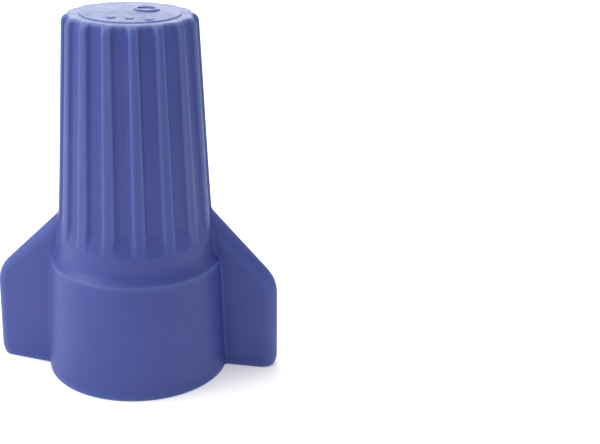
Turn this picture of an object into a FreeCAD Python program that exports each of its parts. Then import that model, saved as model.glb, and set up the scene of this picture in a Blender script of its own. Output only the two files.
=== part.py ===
import FreeCAD, Part
import math
import os

# Winged twist-on wire connector, standing on its mouth: origin at the centre of the mouth
# plane, +Z up to the closed end, wings along +X and -X. All sizes in millimetres.

# closed end, with plain raised marks on its disc
HEIGHT = 35.3               # to the top of the raised ring
END_Z = 34.95               # the margin round the disc
DISC_R = 4.6
DISC_RISE = 0.09
CROWN = 0.12                # further rise of the disc towards its centre
RING_PLACE = (1.1, 1.2)
RING_OUTER_R = 1.15
RING_WALL = 0.32
PIP_PLACES = [(-0.6, -3.1), (1.0, -2.85), (2.75, -2.75)]
PIP_R = 0.38
PIP_TOP_Z = 35.18

# outside of the skirt and neck, as radius at a height
MOUTH_R = 8.87
SHOULDER_R = 8.24
SHOULDER_Z = 11.4
SHOULDER_ROUND = 0.22
LEDGE_R = 7.55              # foot of the neck, inside the shoulder's round
LEDGE_Z = 12.1
LEDGE_ROUND = 2.0           # hollow blend from the ledge into the neck
FLUTE_FOOT_R = 7.42         # top of the plain neck, where the flutes start
FLUTE_FOOT_Z = 14.0

# fluted body
CREST_LOW_Z = 15.5
CREST_LOW_R = 7.28          # over the rib crests at that height
CREST_TOP_R = 6.13          # rib crests at the closed end
RUNOUT_Z = 16.0             # below this the flutes ramp out to the neck
RUNOUT_DEPTH = 0.38
RUNOUT_ROUND = 1.5
FLUTE_DEPTH = 0.5           # at the closed end
RIBS = 16
RIB_HALF_LOW = 0.60
RIB_HALF_TOP = 0.37
RIB_FLARE = 0.17            # each rib is this much wider, each side, at its foot
RIB_SAG = 0.22              # round of a rib's crest
TOP_ROUND = 0.7             # upper ends of the ribs
FLUTE_TOP_ROUND = 0.25      # closed end's edge between the ribs

# wings
WING_REACH = 13.79          # from the axis to the outer edge at the mouth plane, along X
WING_OFFSET = 2.12          # each wing's middle plane stands off the axis, like a pinwheel
WING_TIP_T = 2.0            # thickness at the mouth plane
WING_ROOT_T = 3.1
WING_ROOT_X = 7.4
WING_DRAFT = 0.016          # every face leans in by this much per millimetre of height
WING_TOP_Z = 9.3            # where the outer edge would meet the slope
WING_SLOPE_Z = 15.95        # where the slope reaches the body
WING_SLOPE_X = 6.9
WING_TOP_CORNER = 3.6
WING_EDGE_ROUND = 0.82      # nearly half the tip's thickness, so its edge is almost fully rounded
WING_START_X = 4.0

# inside of the skirt
STEP_R = 7.87               # bore at the mouth
STEP_DROP = 0.16            # each fine ring is this much smaller in radius
STEP_RISE = 1.15
STEPS = 3
SKIRT_BORE_R = STEP_R - STEPS * STEP_DROP
FUNNEL_Z = 9.6
SEAT_R = 5.95
SEAT_Z = 11.5

# socket for the spring
SOCKET_Z = 11.8
SOCKET_TOP_R = 3.65
SOCKET_TOP_Z = 32.4
SOCKET_ROUND = 0.5

# square wire spring, wound with a corner of the wire facing the axis
WIRE = 1.1
PITCH = 1.70
SPRING_CLEAR = 0.03


def line(a, b):
    return Part.makeLine(FreeCAD.Vector(*a), FreeCAD.Vector(*b))


def arc(a, m, b):
    return Part.Arc(FreeCAD.Vector(*a), FreeCAD.Vector(*m), FreeCAD.Vector(*b)).toShape()


def round_corner(before, corner, after, radius):
    """Both tangent points and the middle of the arc that rounds a corner in a plane."""
    c = FreeCAD.Vector(*corner)
    u = (FreeCAD.Vector(*before) - c).normalize()
    v = (FreeCAD.Vector(*after) - c).normalize()
    half = u.getAngle(v) / 2.0
    reach = radius / math.tan(half)
    bisector = (u + v).normalize()
    centre = c + bisector * (radius / math.sin(half))
    middle = centre - bisector * radius
    return [tuple(c + u * reach), tuple(middle), tuple(c + v * reach)]


def rounded_outline(corners):
    """Closed wire through (point, radius) corners, with an arc at each radius above zero."""
    spans = []
    count = len(corners)
    for i in range(count):
        point, radius = corners[i]
        before = corners[i - 1][0]
        after = corners[(i + 1) % count][0]
        if radius > 0:
            spans.append(round_corner(before, point, after, radius))
        else:
            spans.append([point, None, point])
    edges = []
    for i in range(count):
        start, middle, end = spans[i]
        if middle is not None:
            edges.append(arc(start, middle, end))
        edges.append(line(end, spans[(i + 1) % count][0]))
    return Part.Wire(edges)


def revolved(corners):
    """Solid of revolution about Z from (radius, height, corner radius) triples."""
    flat = [((r, 0.0, z), radius) for r, z, radius in corners]
    face = Part.Face(rounded_outline(flat))
    return face.revolve(FreeCAD.Vector(0, 0, 0), FreeCAD.Vector(0, 0, 1), 360)


def crest_r(z):
    share = (z - CREST_LOW_Z) / (END_Z - CREST_LOW_Z)
    return CREST_LOW_R + (CREST_TOP_R - CREST_LOW_R) * share


def skirt_and_neck():
    """Corners from the mouth's outer edge up to where the flutes start."""
    return [
        (0.0, 0.0, 0.0),
        (MOUTH_R, 0.0, 0.0),
        (SHOULDER_R, SHOULDER_Z, SHOULDER_ROUND),
        (LEDGE_R, LEDGE_Z, LEDGE_ROUND),
        (FLUTE_FOOT_R, FLUTE_FOOT_Z, 0.0),
    ]


def core():
    """Everything the mould forms inside the bottoms of the flutes, without bores."""
    runout_r = crest_r(RUNOUT_Z) - RUNOUT_DEPTH
    root_r = CREST_TOP_R - FLUTE_DEPTH
    corners = skirt_and_neck() + [
        (runout_r, RUNOUT_Z, RUNOUT_ROUND),
        (root_r, END_Z, FLUTE_TOP_ROUND),
        (DISC_R, END_Z, 0.0),
        (DISC_R, END_Z + DISC_RISE, 0.0),
        (0.0, END_Z + DISC_RISE + CROWN, 0.0),
    ]
    return revolved(corners)


def crest_envelope():
    """The outside over the rib crests, which rounds off each rib's upper end."""
    corners = [
        (0.0, FLUTE_FOOT_Z - 1.0, 0.0),
        (crest_r(FLUTE_FOOT_Z - 1.0), FLUTE_FOOT_Z - 1.0, 0.0),
        (CREST_TOP_R, END_Z, TOP_ROUND),
        (0.0, END_Z, 0.0),
    ]
    return revolved(corners)


def end_marks():
    """A plain ring and three round pips, a tenth to a fifth of a millimetre proud of the disc."""
    tall = HEIGHT - END_Z
    centre = FreeCAD.Vector(*RING_PLACE, END_Z)
    outer = Part.makeCylinder(RING_OUTER_R, tall, centre)
    inner = Part.makeCylinder(RING_OUTER_R - RING_WALL, tall, centre)
    marks = [outer.cut(inner)]
    for place in PIP_PLACES:
        foot = FreeCAD.Vector(*place, END_Z)
        marks.append(Part.makeCylinder(PIP_R, PIP_TOP_Z - END_Z, foot))
    return marks


def rib_section(z, crest, foot, half):
    crest_side = crest - RIB_SAG
    a = (foot, -half - RIB_FLARE, z)
    b = (crest_side, -half, z)
    c = (crest, 0.0, z)
    d = (crest_side, half, z)
    e = (foot, half + RIB_FLARE, z)
    return Part.Wire([line(a, b), arc(b, c, d), line(d, e), line(e, a)])


def rib():
    low = FLUTE_FOOT_Z
    low_wire = rib_section(low, crest_r(low), crest_r(low) - 1.0, RIB_HALF_LOW)
    top_wire = rib_section(HEIGHT, crest_r(HEIGHT), crest_r(HEIGHT) - 1.5, RIB_HALF_TOP)
    return Part.makeLoft([low_wire, top_wire], True, True)


def ribs():
    """All ribs, with their upper ends rounded by the envelope."""
    one = rib().common(crest_envelope())
    made = []
    for i in range(RIBS):
        copy = one.copy()
        copy.rotate(FreeCAD.Vector(0, 0, 0), FreeCAD.Vector(0, 0, 1), i * 360.0 / RIBS)
        made.append(copy)
    return made


def wing_plan(z):
    """Wire of the wing's tapering thickness, seen from above, drawn in by the draft at a height."""
    taper = (WING_ROOT_T - WING_TIP_T) / (WING_REACH - WING_ROOT_X) / 2.0
    drawn_in = WING_DRAFT * z
    start_half = WING_TIP_T / 2.0 + taper * (WING_REACH - WING_START_X) - drawn_in
    tip_half = WING_TIP_T / 2.0 - drawn_in
    tip_x = WING_REACH - drawn_in
    return Part.makePolygon([
        FreeCAD.Vector(WING_START_X, WING_OFFSET - start_half, z),
        FreeCAD.Vector(tip_x, WING_OFFSET - tip_half, z),
        FreeCAD.Vector(tip_x, WING_OFFSET + tip_half, z),
        FreeCAD.Vector(WING_START_X, WING_OFFSET + start_half, z),
        FreeCAD.Vector(WING_START_X, WING_OFFSET - start_half, z),
    ])


def wing():
    """The wing on the +X side: flat, thicker towards the root, crisp only at the mouth plane."""
    side_y = WING_OFFSET - WING_ROOT_T
    tip_top_x = WING_REACH - WING_DRAFT * WING_TOP_Z
    fall = (WING_SLOPE_Z - WING_TOP_Z) / (tip_top_x - WING_SLOPE_X)
    start_z = WING_TOP_Z + fall * (tip_top_x - WING_START_X)
    outline = rounded_outline([
        ((WING_START_X, side_y, 0.0), 0.0),
        ((WING_REACH, side_y, 0.0), 0.0),
        ((tip_top_x, side_y, WING_TOP_Z), WING_TOP_CORNER),
        ((WING_START_X, side_y, start_z), 0.0),
    ])
    slab = Part.Face(outline).extrude(FreeCAD.Vector(0, 2.0 * WING_ROOT_T, 0))
    drafted = Part.makeLoft([wing_plan(0.0), wing_plan(HEIGHT)], True, True)
    blank = slab.common(drafted)
    rounded = []
    for edge in blank.Edges:
        ends = [v.Point for v in edge.Vertexes]
        along_a_side = abs(ends[0].x - ends[-1].x) > 0.3
        upright = abs(ends[0].z - ends[-1].z) > 0.1
        at_start = all(p.x < WING_START_X + 0.01 for p in ends)
        at_mouth = all(p.z < 0.01 for p in ends)
        if (along_a_side or upright) and not (at_start or at_mouth):
            rounded.append(edge)
    return blank.makeFillet(WING_EDGE_ROUND, rounded)


def wings():
    first = wing()
    second = first.copy()
    second.rotate(FreeCAD.Vector(0, 0, 0), FreeCAD.Vector(0, 0, 1), 180)
    return [first, second]


def cavity():
    """Stepped mouth, plain skirt bore, funnel, seat and the tapered socket of the spring."""
    corners = [(0.0, -1.0, 0.0), (STEP_R, -1.0, 0.0)]
    for i in range(STEPS):
        radius = STEP_R - i * STEP_DROP
        edge_z = (i + 1) * STEP_RISE
        corners.append((radius, edge_z, 0.0))
        corners.append((radius - STEP_DROP, edge_z, 0.0))
    corners += [
        (SKIRT_BORE_R, FUNNEL_Z, 0.0),
        (SEAT_R, SEAT_Z, 0.0),
        (SEAT_R, SOCKET_Z, 0.0),
        (SOCKET_TOP_R, SOCKET_TOP_Z, SOCKET_ROUND),
        (0.0, SOCKET_TOP_Z, 0.0),
    ]
    return revolved(corners)


def make_shell():
    body = core().multiFuse(ribs() + wings() + end_marks())
    return body.cut(cavity()).removeSplitter()


def make_spring():
    """Tapered coil of square wire, its widest turn facing the mouth."""
    diagonal = WIRE * math.sqrt(2.0)
    half = diagonal / 2.0
    taper = (SEAT_R - SOCKET_TOP_R) / (SOCKET_TOP_Z - SOCKET_Z)
    lean = math.degrees(math.atan(taper))
    # the helix widens as it climbs here, and is turned over afterwards
    length = SOCKET_TOP_Z - SOCKET_Z - diagonal - 2 * SPRING_CLEAR
    start_r = SOCKET_TOP_R + taper * (half + SPRING_CLEAR) - half - SPRING_CLEAR
    helix = Part.makeHelix(PITCH, length, start_r, lean)
    section = Part.makePolygon([
        FreeCAD.Vector(start_r - half, 0, 0),
        FreeCAD.Vector(start_r, 0, -half),
        FreeCAD.Vector(start_r + half, 0, 0),
        FreeCAD.Vector(start_r, 0, half),
        FreeCAD.Vector(start_r - half, 0, 0),
    ])
    coil = Part.Wire(helix).makePipeShell([section], True, True)
    coil.rotate(FreeCAD.Vector(0, 0, 0), FreeCAD.Vector(1, 0, 0), 180)
    coil.translate(FreeCAD.Vector(0, 0, SOCKET_TOP_Z - half - SPRING_CLEAR))
    return coil


def main():
    os.makedirs("parts", exist_ok=True)
    make_shell().exportStep("parts/shell.step")
    make_spring().exportStep("parts/spring.step")


main()
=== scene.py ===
import math

import bpy
import numpy as np
from mathutils import Matrix, Quaternion, Vector


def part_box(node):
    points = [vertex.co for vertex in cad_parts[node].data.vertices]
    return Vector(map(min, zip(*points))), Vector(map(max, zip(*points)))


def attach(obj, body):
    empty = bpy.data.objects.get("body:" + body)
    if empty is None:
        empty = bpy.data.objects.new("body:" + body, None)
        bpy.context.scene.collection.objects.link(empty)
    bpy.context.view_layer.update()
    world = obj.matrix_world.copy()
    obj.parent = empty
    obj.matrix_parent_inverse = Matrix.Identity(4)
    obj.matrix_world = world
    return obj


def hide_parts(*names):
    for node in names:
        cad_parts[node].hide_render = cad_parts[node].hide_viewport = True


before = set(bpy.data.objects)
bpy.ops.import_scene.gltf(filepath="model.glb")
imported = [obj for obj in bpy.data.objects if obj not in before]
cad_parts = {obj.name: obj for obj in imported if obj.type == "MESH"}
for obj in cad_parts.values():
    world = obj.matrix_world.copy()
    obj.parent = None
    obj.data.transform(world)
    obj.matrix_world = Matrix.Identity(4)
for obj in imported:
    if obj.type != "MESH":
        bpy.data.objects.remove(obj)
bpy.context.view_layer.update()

# Lengths are millimetres in the frame's axes, and become metres when a mesh is made.
# The materials, the studio and the camera say their own units.
MM = 0.001
SHELL_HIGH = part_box("shell")[1] / MM
SPRING_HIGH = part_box("spring")[1] / MM

# outside of the shell
HEIGHT = SHELL_HIGH.z       # to the top of the raised ring on the closed end
END_Z = 34.95
DISC_R = 4.6
DISC_RISE = 0.09
CROWN = 0.12
RING_PLACE = (1.1, 1.2)
RING_MIDDLE_R = 0.99
RING_HALF = 0.16
RING_RISE = 0.15
PIP_PLACES = ((-0.6, -3.1), (1.0, -2.85), (2.75, -2.75))
PIP_R = 0.38
PIP_RISE = 0.10
SOFT_STEP = 0.10            # width over which a mark's edge rises
MOUTH_R = SHELL_HIGH.y
SHOULDER_R = 8.24
SHOULDER_Z = 11.4
SHOULDER_ROUND = 0.22
LEDGE_R = 7.55
LEDGE_Z = 12.1
LEDGE_BLEND = 2.0
CREST_LOW_R = 7.28
CREST_LOW_Z = 15.5
NECK_BLEND = 20.0
CREST_TOP_R = 6.13
CRISP = 0.12                # edges that the mould leaves almost sharp

# ribs and flutes
RIBS = 16
RIB_HALF_LOW = 0.60
RIB_HALF_TOP = 0.37
RIB_FLARE = 0.18
RIB_ROUND = 0.24
RIB_END_ROUND = 0.70
FLUTE_DEPTH_TOP = 0.50
FLUTE_DEPTH_LOW = 0.38
FLUTE_FOOT_R = 7.42
FLUTE_FOOT_Z = 14.0
FLUTE_LOW_Z = 16.0
FLUTE_BLEND = 0.22
FLUTE_FOOT_BLEND = 1.5
FLUTE_END_ROUND = 0.25

# wings
WING_REACH = SHELL_HIGH.x
WING_OFFSET = 2.12
WING_TIP_T = 2.0
WING_ROOT_T = 3.1
WING_ROOT_X = 7.4
WING_DRAFT = 0.016          # every face leans in by this much per millimetre of height
WING_TOP_Z = 9.3
WING_SLOPE_X = 6.9
WING_SLOPE_Z = 15.95
WING_CORNER = 3.6
WING_ROUNDNESS = 0.96       # share of the half thickness that the edge's round takes
WING_FOOT_IN = 0.35         # the outer edge curls in at the mouth plane
WING_FOOT_Z = 1.0
WING_BLEND = 0.2

# inside of the shell
STEP_R = 7.87
STEP_DROP = 0.16
STEP_RISE = 1.15
STEPS = 3
STEP_ROOT_ROUND = 0.04
STEP_EDGE_ROUND = 0.06
FUNNEL_Z = 9.6
FUNNEL_ROUND = 0.5
SEAT_R = 5.95
SEAT_Z = 11.5
SEAT_ROUND = 0.15
SOCKET_Z = 11.8
SOCKET_TOP_R = 3.65
SOCKET_TOP_Z = 32.4
SOCKET_ROUND = 0.5

# spring
WIRE = 1.1
WIRE_ROUND = 0.12
PITCH = 1.70
SPRING_CLEAR = 0.03

# meshes
SEGMENTS = 288              # steps round the axis
WIRE_SEGMENTS = 96          # steps round the axis for each turn of the spring
ARC_POINTS = 5              # on each rounded corner of the bore
WIRE_ARC_POINTS = 4         # on each rounded corner of the wire
# grid lines of the outside: from the first place on, each span's end and its lines' spacing
RADIUS_SPANS = ((0.0, 0), (3.6, 0.105), (4.4, 0.2), (4.8, 0.05), (9.0, 0.13), (14.3, 0.20))
HEIGHT_SPANS = (
    (-0.3, 0), (0.45, 0.075), (9.0, 0.38), (10.8, 0.25), (12.6, 0.11), (13.6, 0.2),
    (16.6, 0.14), (HEIGHT - 2.2, 0.60), (HEIGHT + 0.3, 0.105),
)
EDGE_REACH = 0.2            # scale at which the material finds convex edges for their painted highlight
SWELL_REACH = 0.6           # scale at which it tells the ribs from the flutes, for the painted light that makes the ribs lighter


def rounded_and(a, b, radius, cosine=0.0):
    """Signed distance to what is inside both, with the edge between them rounded.

    cosine is that of the angle between the two surfaces' outward directions.
    """
    u = a + radius
    v = b + radius
    squared = np.maximum(u * u + v * v - 2 * cosine * u * v, 0) / (1 - cosine ** 2)
    on_arc = (u > cosine * v) & (v > cosine * u)
    return np.where(on_arc, np.sqrt(squared) - radius, np.maximum(a, b))


def filleted_or(a, b, radius, cosine=0.0):
    """Signed distance to what is inside either, with the corner between them filleted."""
    return -rounded_and(-a, -b, radius, cosine)


def outward(line):
    """Unit vector out of a line between two (radius, height) points that runs upwards."""
    (r0, z0), (r1, z1) = line
    length = math.hypot(r1 - r0, z1 - z0)
    return (z1 - z0) / length, (r0 - r1) / length


def beyond(line, r, z):
    """Signed distance from the line, positive outside."""
    out_r, out_z = outward(line)
    return (r - line[0][0]) * out_r + (z - line[0][1]) * out_z


def facing(first, second):
    """Cosine between the outward directions of two lines."""
    return sum(a * b for a, b in zip(outward(first), outward(second)))


def crest_r(z):
    share = (z - CREST_LOW_Z) / (END_Z - CREST_LOW_Z)
    return CREST_LOW_R + (CREST_TOP_R - CREST_LOW_R) * share


WALL = ((MOUTH_R, 0.0), (SHOULDER_R, SHOULDER_Z))
LEDGE = ((SHOULDER_R, SHOULDER_Z), (LEDGE_R, LEDGE_Z))
NECK = ((LEDGE_R, LEDGE_Z), (FLUTE_FOOT_R, FLUTE_FOOT_Z))
CREST = ((CREST_LOW_R, CREST_LOW_Z), (CREST_TOP_R, END_Z))
FLUTE_LOW = (crest_r(FLUTE_LOW_Z) - FLUTE_DEPTH_LOW, FLUTE_LOW_Z)
FLUTE_RAMP = ((FLUTE_FOOT_R, FLUTE_FOOT_Z), FLUTE_LOW)
FLUTE_ROOT = (FLUTE_LOW, (CREST_TOP_R - FLUTE_DEPTH_TOP, END_Z))
WING_TOP = (WING_REACH - WING_DRAFT * WING_TOP_Z, WING_TOP_Z)
WING_TIP = ((WING_REACH, 0.0), WING_TOP)
WING_SLOPE = (WING_TOP, (WING_SLOPE_X, WING_SLOPE_Z))


def soft_step(inset):
    """Rises from 0 to 1 as the distance inside an outline grows to the step's width."""
    share = np.clip(inset / SOFT_STEP + 0.5, 0, 1)
    return share * share * (3 - 2 * share)


def end_relief(x, y, r):
    """Height of the closed end's disc and its plain marks over the margin."""
    height = soft_step(DISC_R - r) * (DISC_RISE + CROWN * np.maximum(1 - r / DISC_R, 0))
    from_ring = np.hypot(x - RING_PLACE[0], y - RING_PLACE[1])
    height = height + RING_RISE * soft_step(RING_HALF - np.abs(from_ring - RING_MIDDLE_R))
    for px, py in PIP_PLACES:
        height = height + PIP_RISE * soft_step(PIP_R - np.hypot(x - px, y - py))
    return height


def closed_end(x, y, r, z):
    """Height over the closed end's outer face."""
    return z - END_Z - end_relief(x, y, r)


def with_skirt(body, r, z):
    """The body standing on the skirt's ledge, all inside the skirt's tapering wall."""
    ledge = filleted_or(beyond(LEDGE, r, z), body, LEDGE_BLEND, facing(LEDGE, NECK))
    return rounded_and(beyond(WALL, r, z), ledge, SHOULDER_ROUND, facing(WALL, LEDGE))


def over_crests(r, z):
    """The neck and the cone through the ribs' crests."""
    return filleted_or(beyond(NECK, r, z), beyond(CREST, r, z), NECK_BLEND, facing(NECK, CREST))


def inside_flutes(r, z):
    """The body as if every flute ran all the way round."""
    ramp = beyond(FLUTE_RAMP, r, z)
    root = beyond(FLUTE_ROOT, r, z)
    flute = filleted_or(ramp, root, FLUTE_FOOT_BLEND, facing(FLUTE_RAMP, FLUTE_ROOT))
    return rounded_and(flute, over_crests(r, z), CRISP, facing(FLUTE_RAMP, CREST))


def ribs(x, y, r, z):
    """Distance outside the nearest rib's flanks, which spread towards its root."""
    angle = np.arctan2(y, x)
    pitch = 2 * math.pi / RIBS
    across = np.abs(r * np.sin(angle - np.round(angle / pitch) * pitch))
    climb = np.clip((z - CREST_LOW_Z) / (HEIGHT - CREST_LOW_Z), 0, 1)
    half = RIB_HALF_LOW + (RIB_HALF_TOP - RIB_HALF_LOW) * climb
    depth = np.clip(crest_r(z) - r, 0, FLUTE_DEPTH_TOP)
    return across - half - RIB_FLARE * depth / FLUTE_DEPTH_TOP


def fluted_body(x, y, r, z):
    """The core between the flutes with the ribs standing on it."""
    end = closed_end(x, y, r, z)
    core = rounded_and(inside_flutes(r, z), end, FLUTE_END_ROUND)
    envelope = rounded_and(over_crests(r, z), end, RIB_END_ROUND)
    standing = rounded_and(envelope, ribs(x, y, r, z), RIB_ROUND)
    return np.maximum(filleted_or(core, standing, FLUTE_BLEND), envelope)


def wings(x, y, z):
    """Both wings: the one at -X is the one at +X turned half way round."""
    side = np.where(x < 0, -1.0, 1.0)
    along = x * side
    curl = WING_FOOT_IN * np.clip(1 - z / WING_FOOT_Z, 0, 1) ** 2
    outline = rounded_and(
        beyond(WING_TIP, along, z) + curl, beyond(WING_SLOPE, along, z),
        WING_CORNER, facing(WING_TIP, WING_SLOPE),
    )
    taper = (WING_ROOT_T - WING_TIP_T) / (WING_REACH - WING_ROOT_X) / 2
    inwards = np.clip(WING_REACH - along, 0, WING_REACH - WING_ROOT_X)
    half = WING_TIP_T / 2 + taper * inwards - WING_DRAFT * z
    return rounded_and(outline, np.abs(y * side - WING_OFFSET) - half, WING_ROUNDNESS * half)


def solid_outside(x, y, z):
    """Negative inside the shell as if it had no bore."""
    r = np.hypot(x, y)
    turned = with_skirt(fluted_body(x, y, r, z), r, z)
    return rounded_and(filleted_or(turned, wings(x, y, z), WING_BLEND), -z, CRISP)


def slope_of(field, points, reach=0.01):
    """The field's slope at each point, from its values at the distance reach."""
    x, y, z = points.T
    return np.stack([
        field(x + reach, y, z) - field(x - reach, y, z),
        field(x, y + reach, z) - field(x, y - reach, z),
        field(x, y, z + reach) - field(x, y, z - reach),
    ], axis=1) / (2 * reach)


def drawn_onto(field, points, rounds=5, longest=0.15, flattest=0.2):
    """Moves points along the field's slope until they lie where it is zero.

    No move is longer than longest, and no squared slope counts as less than flattest.
    """
    for _ in range(rounds):
        slope = slope_of(field, points)
        step = field(*points.T) / np.maximum((slope ** 2).sum(axis=1), flattest)
        move = slope * step[:, None]
        length = np.linalg.norm(move, axis=1)
        points = points - move * np.minimum(1, longest / np.maximum(length, 1e-9))[:, None]
    return points


def convexity(points, reach):
    """How strongly the outside curves outwards at each point, at the scale of reach."""
    x, y, z = points.T
    total = -6 * solid_outside(x, y, z)
    for way in (-reach, reach):
        total += solid_outside(x + way, y, z)
        total += solid_outside(x, y + way, z)
        total += solid_outside(x, y, z + way)
    return total / reach


def stretches(spans):
    """Grid lines through (end, spacing) spans that follow one another."""
    lines = [spans[0][0]]
    for (start, _), (end, spacing) in zip(spans, spans[1:]):
        count = max(1, round((end - start) / spacing))
        lines.extend(start + (end - start) * (i + 1) / count for i in range(count))
    return np.array(lines)


def cells_between(inside):
    """True for each cell that has corners both inside and outside."""
    wrapped = np.concatenate([inside, inside[:, :1]], axis=1)
    corners = [
        wrapped[i:wrapped.shape[0] - 1 + i, j:wrapped.shape[1] - 1 + j, k:wrapped.shape[2] - 1 + k]
        for i in (0, 1) for j in (0, 1) for k in (0, 1)
    ]
    return np.any(corners, axis=0) & ~np.all(corners, axis=0)


def cell_points(values, active, radii, heights):
    """A point in each active cell: the middle of where its edges cross the surface."""
    i, j, k = np.nonzero(active)
    total = np.zeros((len(i), 3))
    count = np.zeros(len(i))
    turn = 2 * math.pi / SEGMENTS
    for axis in range(3):
        others = [a for a in range(3) if a != axis]
        for u in (0, 1):
            for v in (0, 1):
                near = [i.copy(), j.copy(), k.copy()]
                near[others[0]] += u
                near[others[1]] += v
                far = [c.copy() for c in near]
                far[axis] += 1
                a = values[near[0], near[1] % SEGMENTS, near[2]]
                b = values[far[0], far[1] % SEGMENTS, far[2]]
                cross = (a < 0) != (b < 0)
                share = np.where(cross, a / np.where(cross, a - b, 1), 0)
                ends = [
                    np.stack([radii[e[0]], e[1] * turn, heights[e[2]]], axis=1)
                    for e in (near, far)
                ]
                point = ends[0] + (ends[1] - ends[0]) * share[:, None]
                total += point * cross[:, None]
                count += cross
    r, angle, z = (total / count[:, None]).T
    return np.stack([r * np.cos(angle), r * np.sin(angle), z], axis=1)


def net_faces(inside, number):
    """Quads across each grid line that crosses the surface, facing outwards."""
    faces = []
    around = (np.arange(SEGMENTS) - 1) % SEGMENTS
    before = number[:, around]
    # grid lines along the radius
    cross = inside[:-1, :, 1:-1] != inside[1:, :, 1:-1]
    quads = [before[:, :, :-1], number[:, :, :-1], number[:, :, 1:], before[:, :, 1:]]
    faces.append((cross, quads, inside[:-1, :, 1:-1]))
    # grid lines along the axis
    cross = inside[1:-1, :, :-1] != inside[1:-1, :, 1:]
    quads = [before[:-1], before[1:], number[1:], number[:-1]]
    faces.append((cross, quads, inside[1:-1, :, :-1]))
    # grid lines round the axis
    after = np.roll(inside, -1, axis=1)
    cross = inside[1:-1, :, 1:-1] != after[1:-1, :, 1:-1]
    quads = [number[:-1, :, :-1], number[:-1, :, 1:], number[1:, :, 1:], number[1:, :, :-1]]
    faces.append((cross, quads, inside[1:-1, :, 1:-1]))
    made = []
    for cross, quads, out_ahead in faces:
        picked = np.stack([q[cross] for q in quads], axis=1)
        ahead = out_ahead[cross]
        picked = np.where(ahead[:, None], picked, picked[:, ::-1])
        made.append(picked[(picked >= 0).all(axis=1)])
    return np.concatenate(made)


def outside_net():
    """Points and quads of the shell's outside, and its open rings at the rim and on the tip.

    The grid goes round the axis, so its cells line up with the turned surfaces.
    """
    radii = stretches(RADIUS_SPANS)
    heights = stretches(HEIGHT_SPANS)
    angles = np.arange(SEGMENTS) * 2 * math.pi / SEGMENTS
    r, angle, z = np.meshgrid(radii, angles, heights, indexing="ij")
    values = solid_outside(r * np.cos(angle), r * np.sin(angle), z)
    inside = values < 0
    active = cells_between(inside)
    rim_cell = int(np.searchsorted(radii, STEP_R + CRISP))
    mouth_layer = int(np.nonzero(active[rim_cell, 0])[0][0])
    active[:rim_cell, :, mouth_layer] = False
    number = np.full(active.shape, -1)
    number[active] = np.arange(active.sum())
    points = drawn_onto(solid_outside, cell_points(values, active, radii, heights))
    quads = net_faces(inside, number)
    top_layer = int(np.nonzero(active[0, 0])[0][-1])
    return points, quads, number[rim_cell, :, mouth_layer], number[0, :, top_layer]


def arc_points(before, corner, after, radius, count=ARC_POINTS):
    """Points of the arc that rounds a corner of a profile, or the corner itself if it is sharp."""
    if radius == 0:
        return [corner]
    c = Vector(corner)
    u = (Vector(before) - c).normalized()
    v = (Vector(after) - c).normalized()
    half = u.angle(v) / 2
    centre = c + (u + v).normalized() * (radius / math.sin(half))
    start = c + u * (radius / math.tan(half)) - centre
    end = c + v * (radius / math.tan(half)) - centre
    turn = start.angle_signed(end)
    made = []
    for i in range(count):
        made.append(tuple(centre + Matrix.Rotation(-turn * i / (count - 1), 2) @ start))
    return made


def bore_profile():
    """(radius, height) points from the rim's inner edge up to the socket's end."""
    corners = [((STEP_R + 1, 0.0), 0), ((STEP_R, 0.0), CRISP)]
    for i in range(STEPS):
        radius = STEP_R - i * STEP_DROP
        corners.append(((radius, (i + 1) * STEP_RISE), STEP_ROOT_ROUND))
        corners.append(((radius - STEP_DROP, (i + 1) * STEP_RISE), STEP_EDGE_ROUND))
    corners += [
        ((STEP_R - STEPS * STEP_DROP, FUNNEL_Z), FUNNEL_ROUND),
        ((SEAT_R, SEAT_Z), SEAT_ROUND),
        ((SEAT_R, SOCKET_Z), 0),
        ((SOCKET_TOP_R, SOCKET_TOP_Z), SOCKET_ROUND),
        ((0.0, SOCKET_TOP_Z), 0),
    ]
    points = []
    for i in range(1, len(corners) - 1):
        corner, radius = corners[i]
        points += arc_points(corners[i - 1][0], corner, corners[i + 1][0], radius)
    return points


def mesh_piece(name, points, faces, material):
    """An object of smooth faces from points in millimetres."""
    mesh = bpy.data.meshes.new(name)
    corners = [tuple(map(int, face)) for face in faces]
    mesh.from_pydata([tuple(p) for p in np.asarray(points) * MM], [], corners)
    mesh.validate()
    mesh.polygons.foreach_set("use_smooth", np.ones(len(mesh.polygons), dtype=bool))
    mesh.materials.append(material)
    piece = bpy.data.objects.new(name, mesh)
    bpy.context.collection.objects.link(piece)
    return piece


def make_shell(material):
    """The moulding: the net of the outside, the turned bore, and a fan over each pole."""
    outside, quads, rim, tip = outside_net()
    points = list(outside)
    faces = [tuple(q) for q in quads]
    step = 2 * math.pi / SEGMENTS
    ring = list(rim)
    for r, z in bore_profile():
        start = len(points)
        for j in range(SEGMENTS):
            angle = (j + 0.5) * step    # the net's points lie between its grid lines
            points.append((r * math.cos(angle), r * math.sin(angle), z))
        inner = list(range(start, start + SEGMENTS))
        for j in range(SEGMENTS):
            k = (j + 1) % SEGMENTS
            faces.append((ring[j], inner[j], inner[k], ring[k]))
        ring = inner
    for hub_z, loop in ((SOCKET_TOP_Z, ring), (END_Z + DISC_RISE + CROWN, list(tip)[::-1])):
        hub = len(points)
        points.append((0.0, 0.0, hub_z))
        for j in range(SEGMENTS):
            faces.append((loop[j - 1], hub, loop[j]))
    piece = mesh_piece("moulded_shell", points, faces, material)
    for name, reach in (("edge", EDGE_REACH), ("swell", SWELL_REACH)):
        values = np.zeros(len(points))
        values[:len(outside)] = convexity(outside, reach)
        piece.data.attributes.new(name, "FLOAT", "POINT").data.foreach_set("value", values)
    return piece


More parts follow.
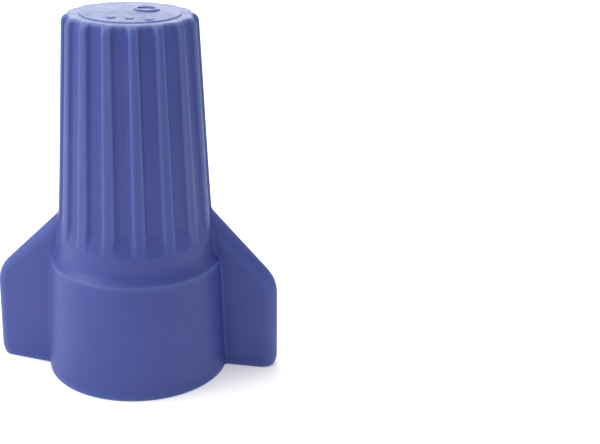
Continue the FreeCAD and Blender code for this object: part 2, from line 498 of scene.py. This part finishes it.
def make_spring(material):
    """Tapered coil of square wire, one corner of the wire facing the axis."""
    half = WIRE / math.sqrt(2)
    taper = (SEAT_R - SOCKET_TOP_R) / (SOCKET_TOP_Z - SOCKET_Z)
    top_z = SPRING_HIGH.z - half
    length = SOCKET_TOP_Z - SOCKET_Z - 2 * half - 2 * SPRING_CLEAR
    top_r = SOCKET_TOP_R + taper * (half + SPRING_CLEAR) - half - SPRING_CLEAR
    outline = []
    for i in range(4):
        corner = Vector((math.cos(i * math.pi / 2), math.sin(i * math.pi / 2))) * half
        before = Vector((corner.y, -corner.x))
        after = Vector((-corner.y, corner.x))
        outline += arc_points(before, corner, after, WIRE_ROUND, WIRE_ARC_POINTS)
    steps = round(length / PITCH * WIRE_SEGMENTS)
    points = []
    rings = []
    for s in range(steps + 1):
        climb = length * s / steps
        angle = -2 * math.pi * climb / PITCH
        centre_r = top_r + taper * climb
        rings.append(list(range(len(points), len(points) + len(outline))))
        for out, up in outline:
            r = centre_r + out
            points.append((r * math.cos(angle), r * math.sin(angle), top_z - climb + up))
    faces = [tuple(reversed(rings[0])), tuple(rings[-1])]
    count = len(outline)
    for a, b in zip(rings, rings[1:]):
        for i in range(count):
            k = (i + 1) % count
            faces.append((a[i], a[k], b[k], b[i]))
    return mesh_piece("wire_spring", points, faces, material)


def new_material(name):
    material = bpy.data.materials.new(name)
    material.use_nodes = True
    return material, material.node_tree, material.node_tree.nodes["Principled BSDF"]


def add_node(tree, kind, **values):
    """A node with its properties and, by name, its input sockets set."""
    made = tree.nodes.new(kind)
    for key, value in values.items():
        if hasattr(made, key):
            setattr(made, key, value)
        else:
            made.inputs[key.replace("_", " ")].default_value = value
    return made


def ramp(tree, factor, low, high, low_at=0.0, high_at=1.0):
    """A colour ramp between two colours or greys."""
    made = tree.nodes.new("ShaderNodeValToRGB")
    ends = made.color_ramp.elements
    ends[0].position = low_at
    ends[0].color = low
    ends[1].position = high_at
    ends[1].color = high
    tree.links.new(factor, made.inputs["Fac"])
    return made.outputs["Color"]


def grey(value):
    return (value, value, value, 1)


def noise(tree, place, scale, detail=3.0, roughness=0.5):
    made = add_node(tree, "ShaderNodeTexNoise", Scale=scale, Detail=detail, Roughness=roughness)
    tree.links.new(place, made.inputs["Vector"])
    return made.outputs["Fac"]


def bump(tree, height, distance, strength, below=None):
    made = add_node(tree, "ShaderNodeBump", Distance=distance, Strength=strength)
    tree.links.new(height, made.inputs["Height"])
    if below is not None:
        tree.links.new(below, made.inputs["Normal"])
    return made.outputs["Normal"]


def surface_value(tree, name):
    return add_node(tree, "ShaderNodeAttribute", attribute_name=name).outputs["Fac"]


# a Mix node's colour sockets share their names with its other ones, so they go by number
MIX_SHARE, MIX_BELOW, MIX_ABOVE, MIX_RESULT = 0, 6, 7, 2


def mixed_colour(tree, share, below, above):
    """Colour below, covered by the plain colour above as far as the share says."""
    made = add_node(tree, "ShaderNodeMix", data_type="RGBA")
    tree.links.new(share, made.inputs[MIX_SHARE])
    tree.links.new(below, made.inputs[MIX_BELOW])
    made.inputs[MIX_ABOVE].default_value = above
    return made.outputs[MIX_RESULT]


# colours in linear light
BLUE_DARK = (0.035, 0.052, 0.251, 1)
BLUE_LIGHT = (0.043, 0.061, 0.275, 1)
# painted light: the ribs' colour, lighter as if lit
BLUE_RIB_LIT = (0.047, 0.079, 0.290, 1)
# painted highlight: the colour laid along convex edges
BLUE_EDGE_HIGHLIGHT = (0.11, 0.16, 0.40, 1)
# mottled scuffs and painted sheen: the closed end's lighter, greyer colour
BLUE_SCUFFED_SHEEN = (0.17, 0.26, 0.40, 1)
ZINC_DARK = (0.60, 0.61, 0.64, 1)
ZINC_LIGHT = (0.80, 0.80, 0.82, 1)
FLOOR_TONE = (0.93, 0.93, 0.93, 1)
WHITE = (1, 1, 1, 1)

# noise features to the metre
CLOUD = 160.0
RIPPLE = 420.0
WIRE_TONE = 700.0
GLOSS_PATCH = 900.0
SCUFF_SHEEN_MOTTLE = 2000.0
WIRE_GLOSS = 2400.0
GRAIN = 5200.0
DRAWN_LINE = 9000.0

# bump heights in metres
RIPPLE_HEIGHT = 0.00004
GRAIN_HEIGHT = 0.000012
DRAWN_LINE_HEIGHT = 0.000012

DRAWN_STRETCH = (0.15, 0.15, 1.0)   # makes noise into lines round the axis
SCUFF_SHEEN_FADE = 0.35 * MM      # below the closed end


def end_scuffs_and_sheen(tree, place):
    """Share of mottled scuffing and painted sheen, on the closed end only."""
    split = add_node(tree, "ShaderNodeSeparateXYZ")
    tree.links.new(place, split.inputs["Vector"])
    end_z = END_Z * MM
    on_end = add_node(tree, "ShaderNodeMapRange", From_Min=end_z - SCUFF_SHEEN_FADE, From_Max=end_z)
    tree.links.new(split.outputs["Z"], on_end.inputs["Value"])
    mottle = ramp(tree, noise(tree, place, SCUFF_SHEEN_MOTTLE, 5.0, 0.65), grey(0.14), grey(0.40), 0.38, 0.66)
    share = add_node(tree, "ShaderNodeMath", operation="MULTIPLY")
    tree.links.new(on_end.outputs["Result"], share.inputs[0])
    tree.links.new(mottle, share.inputs[1])
    return share.outputs["Value"]


def plastic():
    """Blue moulded polypropylene: satin grain, faint cloud, ribs lighter than the flutes with painted
    light, painted highlights along convex edges, and mottled scuffs with painted sheen on the closed
    end.
    """
    material, tree, shader = new_material("blue_polypropylene")
    place = add_node(tree, "ShaderNodeTexCoord").outputs["Object"]
    blue = ramp(tree, noise(tree, place, CLOUD, 4.0), BLUE_DARK, BLUE_LIGHT, 0.3, 0.7)
    # painted light: convex ribs lighter as if lit, the flutes left darker as if in shade
    swell = ramp(tree, surface_value(tree, "swell"), grey(0.0), grey(0.8), 0.05, 0.7)
    ribs_lit = mixed_colour(tree, swell, blue, BLUE_RIB_LIT)
    # painted highlight along convex edges such as the shoulder
    edge_highlight_share = ramp(tree, surface_value(tree, "edge"), grey(0.0), grey(0.48), 0.2, 0.8)
    edge_highlit = mixed_colour(tree, edge_highlight_share, ribs_lit, BLUE_EDGE_HIGHLIGHT)
    # the closed end's face: mottled scuffs with a painted sheen, lighter and greyer
    scuffed_and_sheen = mixed_colour(tree, end_scuffs_and_sheen(tree, place), edge_highlit, BLUE_SCUFFED_SHEEN)
    tree.links.new(scuffed_and_sheen, shader.inputs["Base Color"])
    rough = ramp(tree, noise(tree, place, GLOSS_PATCH), grey(0.44), grey(0.54), 0.3, 0.7)
    tree.links.new(rough, shader.inputs["Roughness"])
    ripple = bump(tree, noise(tree, place, RIPPLE, 2.0), RIPPLE_HEIGHT, 0.25)
    grain = bump(tree, noise(tree, place, GRAIN, 2.0), GRAIN_HEIGHT, 0.35, ripple)
    tree.links.new(grain, shader.inputs["Normal"])
    shader.inputs["IOR"].default_value = 1.49
    shader.inputs["Specular IOR Level"].default_value = 0.42
    shader.inputs["Subsurface Weight"].default_value = 0.05
    shader.inputs["Subsurface Radius"].default_value = (0.0004, 0.0005, 0.0012)
    shader.inputs["Subsurface Scale"].default_value = 1.0
    return material


def steel():
    """Bright zinc-plated square wire with fine drawing lines round the coil."""
    material, tree, shader = new_material("zinc_plated_wire")
    place = add_node(tree, "ShaderNodeTexCoord").outputs["Object"]
    tone = ramp(tree, noise(tree, place, WIRE_TONE), ZINC_DARK, ZINC_LIGHT, 0.3, 0.7)
    tree.links.new(tone, shader.inputs["Base Color"])
    shader.inputs["Metallic"].default_value = 1.0
    rough = ramp(tree, noise(tree, place, WIRE_GLOSS), grey(0.14), grey(0.30), 0.3, 0.7)
    tree.links.new(rough, shader.inputs["Roughness"])
    stretch = add_node(tree, "ShaderNodeMapping")
    stretch.inputs["Scale"].default_value = DRAWN_STRETCH
    tree.links.new(place, stretch.inputs["Vector"])
    lines = noise(tree, stretch.outputs["Vector"], DRAWN_LINE, 2.0)
    tree.links.new(bump(tree, lines, DRAWN_LINE_HEIGHT, 0.4), shader.inputs["Normal"])
    return material


FLOOR_HALF = 1.5            # metres
FLOOR_GLOW = 0.22
WORLD_GLOW = 0.55
LIGHT_AIM = Vector((0, 0, 0.018))
# name, place and size in metres, watts
LIGHTS = (
    ("key", (-0.27, -0.13, 0.22), 0.24, 0.86),
    ("overhead", (-0.04, 0.04, 0.34), 0.26, 0.6),
    ("back", (-0.13, 0.34, 0.15), 0.26, 0.66),
)


def floor():
    """Plain pale floor that glows a little, far wider than the connector."""
    material, tree, shader = new_material("pale_floor")
    shader.inputs["Base Color"].default_value = FLOOR_TONE
    shader.inputs["Roughness"].default_value = 0.9
    shader.inputs["Emission Color"].default_value = WHITE
    shader.inputs["Emission Strength"].default_value = FLOOR_GLOW
    mesh = bpy.data.meshes.new("floor")
    ways = ((-1, -1), (1, -1), (1, 1), (-1, 1))
    corners = [(x * FLOOR_HALF, y * FLOOR_HALF, 0) for x, y in ways]
    mesh.from_pydata(corners, [], [(0, 1, 2, 3)])
    mesh.materials.append(material)
    made = bpy.data.objects.new("floor", mesh)
    bpy.context.collection.objects.link(made)


def soft_light(name, place, size, power):
    """A square area light turned towards the connector."""
    data = bpy.data.lights.new(name, "AREA")
    data.shape = "SQUARE"
    data.size = size
    data.energy = power
    lamp = bpy.data.objects.new(name, data)
    lamp.location = place
    lamp.rotation_euler = (LIGHT_AIM - Vector(place)).to_track_quat("-Z", "Y").to_euler()
    bpy.context.collection.objects.link(lamp)


def studio():
    world = bpy.data.worlds.new("studio")
    world.use_nodes = True
    background = world.node_tree.nodes["Background"]
    background.inputs["Color"].default_value = WHITE
    background.inputs["Strength"].default_value = WORLD_GLOW
    bpy.context.scene.world = world
    bpy.context.scene.view_settings.view_transform = "Standard"
    for name, place, size, power in LIGHTS:
        soft_light(name, place, size, power)


# the camera: where it stands from a point of the axis, and its lens in millimetres
AZIMUTH = math.radians(20.94)
ELEVATION = math.radians(20.05)
ROLL = math.radians(-1.43)
DISTANCE = 0.1043           # metres
LENS = 64.78
SENSOR = 36.0
AIM_Z = 0.0185              # height of that point, metres
AIM_LEFT = 0.1526           # how far it lies left of the picture's middle, as a tangent
AIM_UP = 0.0342             # and above it


def camera():
    data = bpy.data.cameras.new("camera")
    data.lens = LENS
    data.sensor_width = SENSOR
    data.clip_start = 0.01
    data.clip_end = 10.0
    back = Vector((
        math.sin(AZIMUTH) * math.cos(ELEVATION),
        -math.cos(AZIMUTH) * math.cos(ELEVATION),
        math.sin(ELEVATION),
    ))
    aim = Vector((0, 0, AIM_Z))
    straight = (-back).to_track_quat("-Z", "Y")
    rolled = straight @ Quaternion((0, 0, 1), ROLL)
    towards = Vector((-AIM_LEFT, AIM_UP, -1)).normalized()
    turned = rolled @ Vector((0, 0, -1)).rotation_difference(towards).inverted()
    made = bpy.data.objects.new("camera", data)
    made.location = aim + back * DISTANCE
    made.rotation_mode = "QUATERNION"
    made.rotation_quaternion = turned
    bpy.context.collection.objects.link(made)
    bpy.context.scene.camera = made


def main():
    shell = make_shell(plastic())
    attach(shell, "root")
    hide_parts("shell")
    spring = make_spring(steel())
    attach(spring, "root")
    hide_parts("spring")
    floor()
    studio()
    camera()


main()
